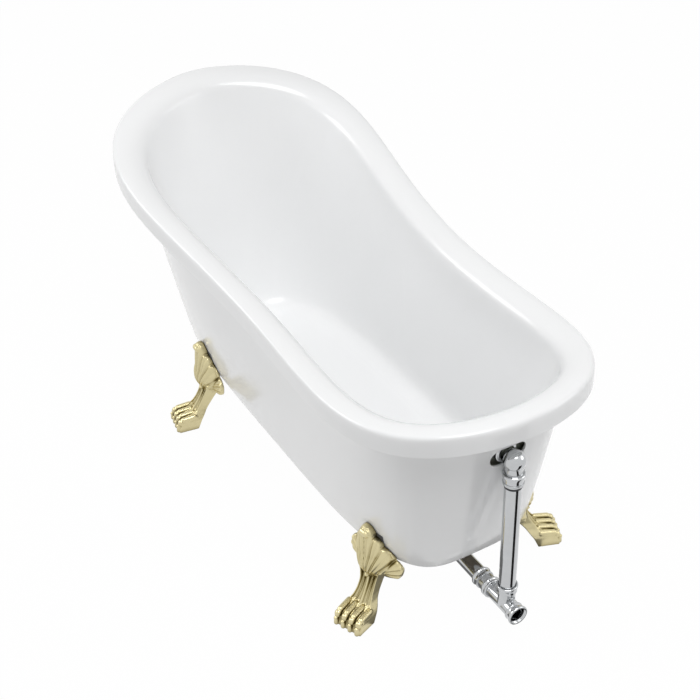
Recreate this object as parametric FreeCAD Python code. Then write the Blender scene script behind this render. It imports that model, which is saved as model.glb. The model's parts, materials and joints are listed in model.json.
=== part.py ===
import FreeCAD, Part
import math
import os

# A freestanding slipper bath: a white acrylic basin and an outer skirt, joined at the rim and at the
# base, on four cast claw feet, with a brass drain, an overflow and a waste tee at the foot end.
# Lengths are in millimetres. +X runs along the bath to the foot end, +Y is its left side and +Z is up.
# The origin is on the floor, under the middle of the rim.

# Rim: its outline seen from above, and its height, low near the foot and high at the head
rim_length = 1550.0
waist_x = 65.0
waist_half_width = 298.0
head_flare = 443.0
foot_flare = 265.0
head_fullness = 1.7
foot_fullness = 1.95
low_rim_x = 316.0
low_rim_height = 627.0
head_rise = 189.0
foot_rise = 44.0
lip_height = 51.0
rim_edge_radius = 13.0
rim_width_head = 95.0
rim_width_side = 70.0
rim_width_foot = 73.0
roll_drop = 34.0

# Basin: a floor with a large fillet, and walls that run straight up to the rolled rim. The floor's outline
# is set back from the rim's ends, and from its waist at the sides.
acrylic_wall = 5.0
backing_wall = 3.0
floor_foot_setback = 177.0
floor_head_setback = 275.0
floor_side_setback = 103.0
floor_fullness = 2.8
floor_radius = 60.0

# Skirt: it stands on the base outline, set back from the rim in the same way, and leans out to a cove and
# a ledge under the rim
base_height = 161.0
base_foot_setback = 165.0
base_head_setback = 155.0
base_side_setback = 87.0
base_fullness = 4.0
skirt_wall = 5.0
skirt_setback = 55.0
skirt_edge_radius = 9.0
cove_radius = 14.0
ledge_recess = 4.0
ledge_gap = 0.5
flange_width = 30.0
flange_thickness = 6.0
head_lean_power = 0.98
side_lean_power = 0.88
foot_lean_power = 0.68

# Base board and the two steel rails that carry the feet
board_thickness = 18.0
board_gap = 2.0
rail_width = 60.0
rail_thickness = 8.0
rail_end_gap = 5.0
rail_screw_radius = 2.5
rail_screw_head_radius = 5.5
rail_screw_length = 20.0
rail_screw_inset_x = 18.0
rail_screw_inset_y = 45.0

# Feet: one casting at four stations, set back from the ends of the base outline and measured outward
# from it. Each is turned toward its end of the bath by a share of the outline's own turn there. The leaf
# and its pad rise above the base.
front_foot_setback = 129.0
rear_foot_setback = 277.0
leaf_rise = 97.0
foot_half_width = 82.0
foot_reach = 126.0
rib_depth = 6.0
toe_pitch = 20.4
toe_radius = 11.0
knuckle_setback = 33.0
knuckle_height = 46.0
toe_tip_setback = 12.0
toe_tip_height = 25.0
claw_radius = 5.5
claw_setback = 3.0
claw_height = 16.0
lug_length = 100.0
lug_width = 44.0
lug_thickness = 10.0
pad_thickness = 1.5
pad_gap = 0.25
pad_low_rise = 15.0
pad_high_rise = 71.0
pad_half_width = 30.0

# Foot bolts, through the lug, the rail and the board, into nuts sunk in the board
bolt_radius = 5.0
bolt_head_width = 17.0
bolt_head_height = 6.4
bolt_nut_height = 8.0
bolt_inner_reach = 78.0
bolt_outer_reach = 50.0
bolt_hole_gap = 0.5
thread_gap = 0.05
washer_radius = 10.0
washer_thickness = 2.0
nut_pocket_gap = 1.0

# Drain, with its flange on the floor of the basin and its shoe under the board
drain_setback = 225.0
drain_hole_radius = 25.0
drain_flange_radius = 35.0
drain_flange_thickness = 3.0
drain_bore_radius = 19.0
drain_seat_radius = 28.0
drain_seat_depth = 8.0
drain_shank_radius = 23.5
drain_shank_length = 58.0
flange_seal_thickness = 1.0
drain_gasket_thickness = 4.0
spider_depth = 38.0
spider_thickness = 7.0
spider_arm_width = 4.0
spider_hub_radius = 8.0
spider_arm_count = 3
shoe_rim_radius = 36.0
shoe_rim_thickness = 5.0
shoe_body_radius = 27.0
shoe_outlet_length = 52.0
board_drain_gap = 4.0

# Stopper: a cap on a sleeve that slides up and down a fixed post
post_radius = 4.0
post_gap = 7.0
sleeve_radius = 6.5
sleeve_gap = 4.0
slide_gap = 0.05
seat_gap = 0.25
cap_radius = 30.0
cap_thickness = 7.0
cap_edge_thickness = 2.5
stopper_seal_thickness = 3.0

# Waste pipes: one bore for the drain pipe and the overflow tube, and the nuts on them
pipe_radius = 19.05
pipe_wall = 1.2
pipe_drop = 58.0
socket_gap = 0.1
fitting_radius = 21.0
tee_radius = 20.0
tee_bore_radius = 17.0
tee_stand_off = 20.4
tee_inlet_length = 56.0
tee_outlet_length = 38.0
tee_branch_length = 53.0
tee_thread_length = 14.0
tee_socket_depth = 24.0
tee_plug_radius = 5.5
tee_plug_length = 4.0
tee_plug_rise = 33.0
nut_radius = 24.0
nut_edge_radius = 2.0
slip_nut_length = 20.0
slip_nut_lip = 6.0
slip_washer_thickness = 3.0
coupling_length = 36.0
union_nut_length = 16.0
outlet_bore_radius = 19.3
outlet_nut_radius = 23.5
outlet_lip = 6.0

# Overflow: a faceplate in the basin, and an elbow that drops to the tube at the foot end
overflow_drop = 148.0
overflow_hole_radius = 16.5
overflow_ball_radius = 24.5
overflow_neck_radius = 19.0
overflow_bore_radius = 15.0
overflow_flange_radius = 26.0
overflow_flange_thickness = 4.0
overflow_gasket_length = 7.0
overflow_socket_radius = 22.0
overflow_socket_drop = 60.0
overflow_washer_drop = 82.0
overflow_tube_overlap = 22.0
overflow_screw_pitch = 21.0
overflow_screw_radius = 2.5
overflow_screw_head_radius = 4.5
overflow_screw_head_height = 2.5
faceplate_radius = 33.0
faceplate_depth = 9.0
faceplate_wall = 1.5
faceplate_gap = 0.3
faceplate_slot_width = 14.0
slot_width = 90.0
slot_height = 50.0

# Overrun of every cutter past the face that it cuts
overrun = 5.0

# Counts of the surface rows, and shares of the sizes above that shape them
around_count = 64
foot_around_count = 72
toe_count = 4
foot_turn_share = 1.3
end_patch_reach = 6
corner_pull_share = 0.12
corner_reach_share = 1.2
lip_middle_share = 0.55
crest_shares = [(0.50, 0.02), (0.80, 0.25), (0.96, 0.62)]
floor_middle_share = 0.45
floor_lift_share = 0.25
wall_height_shares = [0.12, 0.22, 0.42, 0.62, 0.80, 0.93]
skirt_height_shares = [0.08, 0.2, 0.34, 0.48, 0.62, 0.76, 0.88, 0.945]
ledge_middle_share = 0.5
lug_root_share = 0.25

# Sections of the foot, from the leaf's tip down to the sole. Each has its level as a share of the foot's
# height, its half width as a share of the foot's half width, and its front, edge and back as shares of the
# foot's reach. Then come its fullness, how far it follows the skirt's curve, and the depth of its ribs.
foot_section_shares = [
    (1.000, 0.07, 0.31, 0.27, 0.23, 2.0, 1.0, 0.0),
    (0.985, 0.14, 0.34, 0.25, 0.18, 2.0, 1.0, 0.0),
    (0.950, 0.24, 0.36, 0.23, 0.10, 2.0, 1.0, 0.1),
    (0.910, 0.32, 0.355, 0.22, 0.05, 2.0, 1.0, 0.2),
    (0.880, 0.33, 0.36, 0.21, 0.00, 2.0, 1.0, 0.3),
    (0.840, 0.45, 0.37, 0.20, -0.05, 2.0, 1.0, 0.4),
    (0.790, 0.54, 0.39, 0.18, -0.05, 2.0, 1.0, 0.5),
    (0.755, 0.55, 0.405, 0.17, -0.05, 2.0, 1.0, 0.6),
    (0.710, 0.68, 0.43, 0.15, -0.05, 2.0, 1.0, 0.7),
    (0.665, 0.80, 0.44, 0.13, -0.05, 2.0, 1.0, 0.7),
    (0.630, 0.86, 0.435, 0.12, -0.04, 2.0, 1.0, 0.6),
    (0.600, 0.97, 0.42, 0.11, 0.00, 2.1, 1.0, 0.6),
    (0.560, 1.00, 0.40, 0.10, 0.02, 2.2, 1.0, 0.6),
    (0.520, 0.98, 0.38, 0.10, 0.02, 2.3, 0.9, 0.6),
    (0.485, 0.88, 0.36, 0.10, 0.02, 2.4, 0.7, 0.6),
    (0.455, 0.62, 0.34, 0.12, 0.02, 2.8, 0.4, 0.6),
    (0.425, 0.40, 0.34, 0.17, 0.03, 3.2, 0.1, 0.6),
    (0.385, 0.34, 0.375, 0.22, 0.05, 4.0, 0.0, 0.6),
    (0.340, 0.33, 0.435, 0.28, 0.12, 4.0, 0.0, 0.6),
    (0.290, 0.34, 0.51, 0.36, 0.20, 4.0, 0.0, 0.6),
    (0.250, 0.38, 0.57, 0.42, 0.27, 4.0, 0.0, 0.7),
    (0.225, 0.42, 0.68, 0.49, 0.31, 4.5, 0.0, 0.8),
    (0.205, 0.45, 0.80, 0.56, 0.35, 5.0, 0.0, 0.9),
    (0.175, 0.46, 0.90, 0.64, 0.39, 5.0, 0.0, 1.0),
    (0.130, 0.46, 0.93, 0.69, 0.45, 5.0, 0.0, 1.0),
    (0.075, 0.46, 0.94, 0.72, 0.50, 5.0, 0.0, 0.9),
    (0.030, 0.455, 0.94, 0.73, 0.53, 5.0, 0.0, 0.7),
    (0.000, 0.44, 0.92, 0.735, 0.55, 5.0, 0.0, 0.5),
]

# Heights and places that follow from the sizes above
half_length = rim_length / 2
board_low = base_height + flange_thickness
board_high = board_low + board_thickness
rail_low = board_low - rail_thickness
lug_low = rail_low - lug_thickness
basin_wall = acrylic_wall + backing_wall
basin_under = board_high
floor_height = basin_under + basin_wall
corner_height = floor_height + floor_lift_share * floor_radius
floor_foot_x = half_length - floor_foot_setback
floor_head_x = floor_head_setback - half_length
floor_half_width = waist_half_width - floor_side_setback
base_foot_x = half_length - base_foot_setback
base_head_x = base_head_setback - half_length
base_centre_x = (base_foot_x + base_head_x) / 2
base_half_length = (base_foot_x - base_head_x) / 2
base_half_width = waist_half_width - base_side_setback
front_foot_x = base_foot_x - front_foot_setback
rear_foot_x = base_head_x + rear_foot_setback
foot_height = base_height + leaf_rise
drain_x = base_foot_x - drain_setback
pipe_height = base_height - pipe_drop
up = FreeCAD.Vector(0, 0, 1)
ahead = FreeCAD.Vector(1, 0, 0)
across = FreeCAD.Vector(0, 1, 0)
flat = 360.0


def place(x, y, z):
    return FreeCAD.Vector(x, y, z)


def ring_angles(count):
    return [2 * math.pi * index / count for index in range(count)]


def oval(angle, fullness):
    """Radius of a unit superellipse at this angle."""
    total = abs(math.cos(angle)) ** fullness + abs(math.sin(angle)) ** fullness
    return total ** (-1 / fullness)


def by_end(angle, head, side, foot):
    """A value that goes from the side's to the head's or the foot's round the outline."""
    end = foot if math.cos(angle) >= 0 else head
    return side + (end - side) * math.cos(angle) ** 2


def through(row):
    """Poles of the closed curve that passes through the row's points."""
    count = len(row)
    return [row[i] + (row[i] * 2 - row[i - 1] - row[(i + 1) % count]) * (1 / 6) for i in range(count)]


def inset(row, depth):
    """The row moved inward in plan. The depth is one value or one for each point."""
    count = len(row)
    moved = []
    for i in range(count):
        along = row[(i + 1) % count] - row[i - 1]
        inward = place(-along.y, along.x, 0).normalize()
        moved.append(row[i] + inward * (depth[i] if isinstance(depth, list) else depth))
    return moved


def at_height(row, height):
    """The row at another height, one value or one for each point."""
    return [place(p.x, p.y, height[i] if isinstance(height, list) else height) for i, p in enumerate(row)]


def offset_rows(rows, distance):
    """The rows moved square to their surface, to the side that their order makes the outer one."""
    count = len(rows[0])
    result = []
    for j, row in enumerate(rows):
        moved = []
        for i, p in enumerate(row):
            along = row[(i + 1) % count] - row[i - 1]
            steps = []
            if j > 0:
                steps.append(p - rows[j - 1][i])
            if j < len(rows) - 1:
                steps.append(rows[j + 1][i] - p)
            sides = [along.cross(step).normalize() for step in steps]
            first = sides[0]
            last = sides[-1]
            moved.append(p + (first + last) * (distance / (1 + first.dot(last))))
        result.append(moved)
    return result


def from_side(row):
    """The closed row from a quarter of the way round, so that the seam keeps clear of both ends."""
    quarter = len(row) // 4
    return row[quarter:] + row[:quarter]


def surface(rows, degree=3):
    """A smooth face, closed round the rows and open across them."""
    around = len(rows[0])
    levels = len(rows)
    spline = Part.BSplineSurface()
    poles = [list(column) for column in zip(*[from_side(row) for row in rows])]
    steps = levels - degree
    end_mults = [degree + 1] + [1] * (steps - 1) + [degree + 1]
    knots = list(range(around + 1))
    spline.buildFromPolesMultsKnots(
        poles, [1] * (around + 1), end_mults, knots, list(range(steps + 1)), True, False, 3, degree)
    return spline.toShape()


def lid(row):
    """A flat face inside a closed row at one height."""
    curve = Part.BSplineCurve()
    count = len(row)
    curve.buildFromPolesMultsKnots(from_side(row), [1] * (count + 1), list(range(count + 1)), True, 3)
    return Part.Face(Part.Wire([curve.toShape()]))


def solid_of(faces):
    shell = Part.makeShell(faces)
    shell.sewShape()
    body = Part.Solid(shell)
    if body.Volume < 0:
        body.reverse()
    return body


def rim_half_width(x):
    if x < waist_x:
        return waist_half_width + head_flare * ((waist_x - x) / (waist_x + half_length)) ** 2
    return waist_half_width + foot_flare * ((x - waist_x) / (half_length - waist_x)) ** 2


def rim_height(x):
    if x < low_rim_x:
        return low_rim_height + head_rise * ((low_rim_x - x) / (low_rim_x + half_length)) ** 2
    return low_rim_height + foot_rise * ((x - low_rim_x) / (half_length - low_rim_x)) ** 2


def rim_row():
    row = []
    for angle in ring_angles(around_count):
        fullness = foot_fullness if math.cos(angle) >= 0 else head_fullness
        reach = oval(angle, fullness)
        x = half_length * reach * math.cos(angle)
        row.append(place(x, rim_half_width(x) * reach * math.sin(angle), rim_height(x)))
    return through(row)


def oval_row(low_x, high_x, half_width, fullness, height):
    centre = (low_x + high_x) / 2
    half = (high_x - low_x) / 2
    row = []
    for angle in ring_angles(around_count):
        reach = oval(angle, fullness)
        x = centre + half * reach * math.cos(angle)
        row.append(place(x, half_width * reach * math.sin(angle), height))
    return through(row)


rim = rim_row()
rim_heights = [p.z for p in rim]
base_row = oval_row(base_head_x, base_foot_x, base_half_width, base_fullness, base_height)
floor_row = oval_row(floor_head_x, floor_foot_x, floor_half_width, floor_fullness, corner_height)
rim_widths = [by_end(angle, rim_width_head, rim_width_side, rim_width_foot)
              for angle in ring_angles(around_count)]


def lowered(drop):
    return [height - drop for height in rim_heights]


def basin_rows():
    """The visible face of the basin, from its floor up the wall, over the rim and down the lip."""
    wall_top = at_height(inset(rim, rim_widths), lowered(roll_drop))
    rows = [at_height(inset(floor_row, floor_radius), floor_height)]
    rows.append(at_height(inset(floor_row, floor_radius * floor_middle_share), floor_height))
    rows.append(floor_row)
    for share in wall_height_shares:
        rows.append([low + (high - low) * share for low, high in zip(floor_row, wall_top)])
    rows.append(wall_top)
    for width_share, height_share in reversed(crest_shares):
        widths = [width * width_share for width in rim_widths]
        rows.append(at_height(inset(rim, widths), lowered(roll_drop * height_share)))
    rows.append(at_height(inset(rim, rim_edge_radius * corner_reach_share), rim_heights))
    pull = rim_edge_radius * corner_pull_share
    rows.append(at_height(inset(rim, pull), lowered(pull)))
    rows.append(at_height(rim, lowered(rim_edge_radius * corner_reach_share)))
    rows.append(at_height(rim, lowered(lip_height * lip_middle_share)))
    rows.append(at_height(rim, lowered(lip_height)))
    return rows


def skirt_wall_rows(spread):
    """The skirt's outer face without its bottom edge and its ledge, moved outward in plan."""
    top = at_height(inset(rim, skirt_setback), lowered(lip_height))
    rows = []
    for share in skirt_height_shares:
        row = []
        for angle, low, high in zip(ring_angles(around_count), base_row, top):
            power = by_end(angle, head_lean_power, side_lean_power, foot_lean_power)
            plan = low + (high - low) * share ** power
            row.append(place(plan.x, plan.y, low.z + (high.z - low.z) * share))
        rows.append(inset(row, -spread))
    return rows


def skirt_rows():
    """The skirt's outer face, from its bottom edge up to the end of the ledge."""
    pull = skirt_edge_radius * corner_pull_share
    rows = [at_height(inset(base_row, skirt_edge_radius), base_height)]
    rows.append(at_height(inset(base_row, pull), base_height + pull))
    rows.append(at_height(base_row, base_height + skirt_edge_radius))
    rows.extend(skirt_wall_rows(0))
    ledge = lowered(lip_height - ledge_recess)
    cove_pull = cove_radius * corner_pull_share
    ledge_end = basin_wall + ledge_gap
    rows.append(at_height(inset(rim, skirt_setback), [height - cove_pull for height in ledge]))
    rows.append(at_height(inset(rim, skirt_setback - cove_radius * corner_reach_share), ledge))
    middle = ledge_end + (skirt_setback - cove_radius - ledge_end) * ledge_middle_share
    rows.append(at_height(inset(rim, middle), ledge))
    rows.append(at_height(inset(rim, ledge_end), ledge))
    return rows


def closed_up(rows):
    """A solid block inside the rows, with a flat lid above the whole bath."""
    top = at_height(rows[-1], low_rim_height + head_rise + overrun)
    return solid_of([surface(rows), surface([rows[-1], top], 1), lid(top), lid(rows[0])])


def skirt_block(spread):
    """What lies inside the skirt's outer face, moved outward, from just under its bottom edge."""
    lowest = at_height(inset(base_row, -spread), base_height - spread / 2)
    return closed_up([lowest] + skirt_wall_rows(spread))


def rod(radius, start, axis, length):
    return Part.makeCylinder(radius, length, start, axis)


def pipe(radius, bore, start, axis, length):
    hole = rod(bore, start - axis * overrun, axis, length + 2 * overrun)
    return rod(radius, start, axis, length).cut(hole)


def rounded_rod(radius, start, axis, length, edge):
    body = rod(radius, start, axis, length)
    return body.makeFillet(edge, [e for e in body.Edges if isinstance(e.Curve, Part.Circle)])


def turned(outline, centre, axis):
    """A ring or disc turned about an axis, from an outline of radius and distance along the axis."""
    side = across if axis.x else ahead
    points = [centre + side * radius + axis * along for radius, along in outline]
    face = Part.Face(Part.makePolygon(points + [points[0]]))
    return face.revolve(centre, axis, flat)


def hexagon(width, start, height):
    radius = width / math.sqrt(3)
    corners = [start + place(radius * math.cos(a), radius * math.sin(a), 0) for a in ring_angles(6)]
    return Part.Face(Part.makePolygon(corners + [corners[0]])).extrude(up * height)


def fused(shapes):
    return shapes[0].multiFuse(shapes[1:]).removeSplitter()


def end_wall_x(height):
    """Where the basin's foot wall stands at this height."""
    top = rim_height(half_length) - roll_drop
    share = (height - corner_height) / (top - corner_height)
    return floor_foot_x + (half_length - rim_width_foot - floor_foot_x) * share


def end_skirt_x(height):
    """Where the skirt's foot end stands at this height."""
    top = rim_height(half_length) - lip_height
    share = (height - base_height) / (top - base_height)
    return base_foot_x + (half_length - skirt_setback - base_foot_x) * share ** foot_lean_power


overflow_height = rim_height(half_length) - overflow_drop
overflow_x = end_wall_x(overflow_height)
overflow_lean = end_wall_x(overflow_height + overflow_flange_radius) - overflow_x
overflow_flange_x = overflow_x + basin_wall + overflow_lean + overflow_gasket_length / 4
tee_x = end_skirt_x(overflow_height) + tee_stand_off


def overflow_screw_places(x):
    return [place(x, side * overflow_screw_pitch, overflow_height) for side in (-1, 1)]


def overflow_cutter(start_x):
    """The overflow hole and its two screw holes, along X."""
    length = overflow_flange_x + overflow_flange_thickness + overrun - start_x
    holes = [rod(overflow_hole_radius, place(start_x, 0, overflow_height), ahead, length)]
    for start in overflow_screw_places(start_x):
        holes.append(rod(overflow_screw_radius + bolt_hole_gap, start, ahead, length))
    return Part.makeCompound(holes)


def basin_layer(top_depth, under_depth):
    """A layer of the basin between two depths below its face, with the drain and overflow holes."""
    rows = basin_rows()
    top = offset_rows(rows, top_depth) if top_depth else rows
    under = offset_rows(rows, under_depth)
    rim_end = surface([top[-1], under[-1]], 1)
    layer = solid_of([surface(top), rim_end, surface(under), lid(top[0]), lid(under[0])])
    start = place(drain_x, 0, basin_under - overrun)
    layer = layer.cut(rod(drain_hole_radius, start, up, basin_wall + 2 * overrun))
    return layer.cut(overflow_cutter(overflow_x - basin_wall - overrun))


def make_inner_shell():
    return basin_layer(0, acrylic_wall)


def make_glass_fibre_backing():
    return basin_layer(acrylic_wall, basin_wall)


def slot_cutter():
    """The level slot in the skirt's foot end that the overflow elbow comes out of."""
    half = (slot_width - slot_height) / 2
    middle = place(overflow_flange_x, 0, overflow_height)
    rise = up * (slot_height / 2)
    edges = []
    for side in (-1, 1):
        end = middle + across * (side * half)
        tip = middle + across * (side * slot_width / 2)
        edges.append(Part.Arc(end - rise * side, tip, end + rise * side).toShape())
        edges.append(Part.makeLine(end + rise * side, end - across * (2 * side * half) + rise * side))
    return Part.Face(Part.Wire(edges)).extrude(ahead * (tee_x - overflow_flange_x))


def make_outer_skirt():
    rows = skirt_rows()
    inner = offset_rows(rows, -skirt_wall)[2:]
    corner = at_height(inset(base_row, skirt_wall), board_low)
    inner = [corner] + inner[1:]
    flange_top = at_height(inset(base_row, flange_width), board_low)
    flange_low = at_height(flange_top, base_height)
    faces = [surface(rows), surface([rows[-1], inner[-1]], 1), surface(inner)]
    faces.append(surface([corner, flange_top], 1))
    faces.append(surface([flange_top, flange_low], 1))
    faces.append(surface([flange_low, rows[0]], 1))
    return solid_of(faces).cut(slot_cutter())


# Foot stations: the base point, and the angle by which the foot turns toward the bath's end

def base_y(x):
    along = abs((x - base_centre_x) / base_half_length)
    return base_half_width * (1 - along ** base_fullness) ** (1 / base_fullness)


def station(x):
    """The near side's base point and the direction in which its foot points, in radians."""
    along = (x - base_centre_x) / base_half_length
    aside = base_y(x) / base_half_width
    slope_x = math.copysign(abs(along) ** (base_fullness - 1), along) / base_half_length
    slope_y = aside ** (base_fullness - 1) / base_half_width
    return place(x, -base_y(x), 0), foot_turn_share * math.atan2(slope_x, slope_y)


def skirt_fall(x, side):
    """How far the base outline falls back from the foot's sideways line at this distance to the side."""
    point, turn = station(x)
    fall = 0
    for step in range(6):
        probe_x = point.x + side * math.cos(turn) - fall * math.sin(turn)
        gap = place(probe_x, -base_y(probe_x), 0) - point
        fall = -(gap.x * math.sin(turn) - gap.y * math.cos(turn))
    return fall


def to_station(shape, x):
    """A shape made with +X outward and +Y sideways, moved to its station on the near side."""
    point, turn = station(x)
    rotation = FreeCAD.Rotation(up, math.degrees(turn - math.pi / 2))
    return shape.transformed(FreeCAD.Placement(point, rotation).toMatrix())


def within(block, box):
    """The part of a large block that lies in a box, so that the cuts it makes stay small."""
    return block.common(box)


def skirt_near(x, spread):
    """The skirt's block where a foot stands at its station."""
    half = foot_half_width + overrun
    low = base_height - overrun
    box = Part.makeBox(2 * foot_reach, 2 * half, leaf_rise + 2 * overrun, place(-foot_reach, -half, low))
    return within(skirt_block(spread), to_station(box, x))


def foot_row(x, shares):
    level_share, width_share, front_share, edge_share, back_share, fullness, hug, rib = shares
    row = []
    for angle in ring_angles(foot_around_count):
        reach = oval(angle, fullness)
        side = reach * math.sin(angle)
        forward = reach * math.cos(angle)
        depth = front_share - edge_share if forward > 0 else edge_share - back_share
        out = foot_reach * (edge_share + depth * forward)
        if forward > 0:
            out -= rib * rib_depth * (1 + math.cos(4 * math.pi * side)) / 2 * min(1, 2 * forward)
        sideways = side * width_share * foot_half_width
        out -= hug * skirt_fall(x, sideways)
        row.append(place(out, sideways, level_share * foot_height))
    return row


def capsule(radius, start, end):
    span = end - start
    middle = rod(radius, start, span, span.Length)
    return fused([Part.makeSphere(radius, start), middle, Part.makeSphere(radius, end)])


def make_foot(x):
    """One casting: the leaf, the ribbed leg, the paw with four toes and the lug that is bolted on."""
    rows = [foot_row(x, shares) for shares in reversed(foot_section_shares)]
    body = solid_of([surface(rows), lid(rows[0]), lid(rows[-1])])
    toes = []
    for index in range(toe_count):
        side = (index - (toe_count - 1) / 2) * toe_pitch
        knuckle = place(foot_reach - knuckle_setback, side, knuckle_height)
        tip = place(foot_reach - toe_tip_setback, side, toe_tip_height)
        toes.append(capsule(toe_radius, knuckle, tip))
        claw = place(foot_reach - claw_setback, side, claw_height)
        toes.append(Part.makeCone(claw_radius, claw_radius / 4, claw_height, claw, -up))
    lug_start = place(-lug_length, -lug_width / 2, lug_low)
    lug = Part.makeBox(lug_length + foot_reach * lug_root_share, lug_width, lug_thickness, lug_start)
    for reach in (bolt_inner_reach, bolt_outer_reach):
        lug = lug.cut(rod(bolt_radius + bolt_hole_gap, place(-reach, 0, lug_low - overrun), up,
                          lug_thickness + 2 * overrun))
    foot = body
    for piece in toes + [lug]:
        foot = foot.fuse(piece)
    return to_station(foot, x).cut(skirt_near(x, pad_thickness + 2 * pad_gap))


def make_pad(x):
    """A thin foam pad between the leaf and the skirt."""
    block = Part.makeBox(foot_reach, 2 * pad_half_width, pad_high_rise - pad_low_rise,
                         place(-overrun, -pad_half_width, base_height + pad_low_rise))
    layer = to_station(block, x).common(skirt_near(x, pad_thickness + pad_gap))
    return layer.cut(skirt_near(x, pad_gap))


def mirrored(shape):
    return shape.mirror(place(0, 0, 0), across)


def bolt_places():
    """The eight bolt axes, at the height of the floor."""
    axes = []
    for x in (front_foot_x, rear_foot_x):
        point, turn = station(x)
        inward = place(-math.sin(turn), math.cos(turn), 0)
        for reach in (bolt_outer_reach, bolt_inner_reach):
            near = point + inward * reach
            axes.append(near)
            axes.append(place(near.x, -near.y, 0))
    return axes


def raised(point, height):
    return place(point.x, point.y, height)


def make_foot_bolts():
    bolts = []
    for point in bolt_places():
        head_low = lug_low - washer_thickness - bolt_head_height
        head = hexagon(bolt_head_width, raised(point, head_low), bolt_head_height)
        shank = rod(bolt_radius, raised(point, head_low), up, board_high - washer_thickness / 2 - head_low)
        bolts.append(head.fuse(shank))
    return Part.makeCompound(bolts)


def make_foot_washers():
    low = lug_low - washer_thickness
    hole_radius = bolt_radius + bolt_hole_gap
    return Part.makeCompound([pipe(washer_radius, hole_radius, raised(point, low), up, washer_thickness)
                              for point in bolt_places()])


def make_foot_nuts():
    nuts = []
    for point in bolt_places():
        start = raised(point, board_high - bolt_nut_height)
        nut = hexagon(bolt_head_width, start, bolt_nut_height)
        hole = rod(bolt_radius + thread_gap, start - up * overrun, up, bolt_nut_height + 2 * overrun)
        nuts.append(nut.cut(hole))
    return Part.makeCompound(nuts)


def rail_x(foot_x):
    """The rail's middle, midway between the two bolts of the foot."""
    point, turn = station(foot_x)
    return point.x - math.sin(turn) * (bolt_outer_reach + bolt_inner_reach) / 2


def rail_screw_places(x):
    return [place(x + along * rail_screw_inset_x, aside * rail_screw_inset_y, rail_low)
            for along in (-1, 1) for aside in (-1, 1)]


def rail_screw(point, gap):
    """A countersunk screw, or the hole for one where there is a gap round it."""
    radius = rail_screw_radius + gap
    sink = rail_screw_head_radius - rail_screw_radius
    head = Part.makeCone(rail_screw_head_radius + gap, radius, sink, point, up)
    return head.fuse(rod(radius, point, up, rail_screw_length + gap))


def make_rail(foot_x):
    x = rail_x(foot_x)
    edge = x + math.copysign(rail_width / 2, x)
    half = base_y(edge) - flange_width - rail_end_gap
    rail = Part.makeBox(rail_width, 2 * half, rail_thickness, place(x - rail_width / 2, -half, rail_low))
    for point in rail_screw_places(x):
        rail = rail.cut(rail_screw(point, thread_gap))
    for point in bolt_places():
        rail = rail.cut(rod(bolt_radius + bolt_hole_gap, raised(point, rail_low - overrun), up,
                            rail_thickness + 2 * overrun))
    return rail


def make_rail_screws():
    return Part.makeCompound([rail_screw(point, 0) for foot_x in (front_foot_x, rear_foot_x)
                              for point in rail_screw_places(rail_x(foot_x))])


def make_base_board():
    low = at_height(inset(base_row, skirt_wall + board_gap), board_low)
    high = at_height(low, board_high)
    board = solid_of([surface([low, high], 1), lid(low), lid(high)])
    board = board.cut(rod(shoe_rim_radius + board_drain_gap, place(drain_x, 0, board_low - overrun), up,
                          board_thickness + 2 * overrun))
    pocket_radius = bolt_head_width / math.sqrt(3) + nut_pocket_gap
    for point in bolt_places():
        board = board.cut(rod(bolt_radius + bolt_hole_gap, raised(point, board_low - overrun), up,
                              board_thickness + 2 * overrun))
        board = board.cut(rod(pocket_radius, raised(point, board_high - bolt_nut_height), up,
                              bolt_nut_height + overrun))
    for foot_x in (front_foot_x, rear_foot_x):
        for point in rail_screw_places(rail_x(foot_x)):
            board = board.cut(rail_screw(point, thread_gap))
    return board


# Drain and stopper, all on one upright axis

drain_point = place(drain_x, 0, 0)
flange_low = floor_height + flange_seal_thickness
flange_high = flange_low + drain_flange_thickness
shank_low = flange_low - drain_shank_length
gasket_low = basin_under - drain_gasket_thickness
spider_low = flange_high - spider_depth
cap_low = flange_high + seat_gap
seat_taper = (drain_seat_radius - drain_bore_radius) / drain_seat_depth


def make_drain_flange():
    ring = turned([
        (drain_bore_radius, shank_low), (drain_shank_radius, shank_low), (drain_shank_radius, flange_low),
        (drain_flange_radius, flange_low), (drain_flange_radius, flange_low + drain_flange_thickness / 3),
        (drain_seat_radius + drain_flange_thickness, flange_high), (drain_seat_radius, flange_high),
        (drain_bore_radius, flange_high - drain_seat_depth)], drain_point, up)
    hub = rod(spider_hub_radius, raised(drain_point, spider_low), up, spider_thickness)
    middle = (drain_bore_radius + drain_shank_radius) / 2
    arms = []
    for index in range(spider_arm_count):
        arm = Part.makeBox(middle, spider_arm_width, spider_thickness, place(0, -spider_arm_width / 2, 0))
        arm.rotate(place(0, 0, 0), up, flat * index / spider_arm_count)
        arm.translate(raised(drain_point, spider_low))
        arms.append(arm)
    body = fused([ring, hub] + arms)
    start = raised(drain_point, spider_low - overrun)
    return body.cut(rod(post_radius, start, up, spider_thickness + 2 * overrun))


def make_flange_seal():
    return pipe(drain_flange_radius - flange_seal_thickness, drain_shank_radius + bolt_hole_gap,
                raised(drain_point, floor_height), up, flange_seal_thickness)


def make_drain_gasket():
    return pipe(shoe_rim_radius, drain_shank_radius + bolt_hole_gap, raised(drain_point, gasket_low), up,
                drain_gasket_thickness)


shoe_end_x = drain_x + shoe_outlet_length


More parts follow.
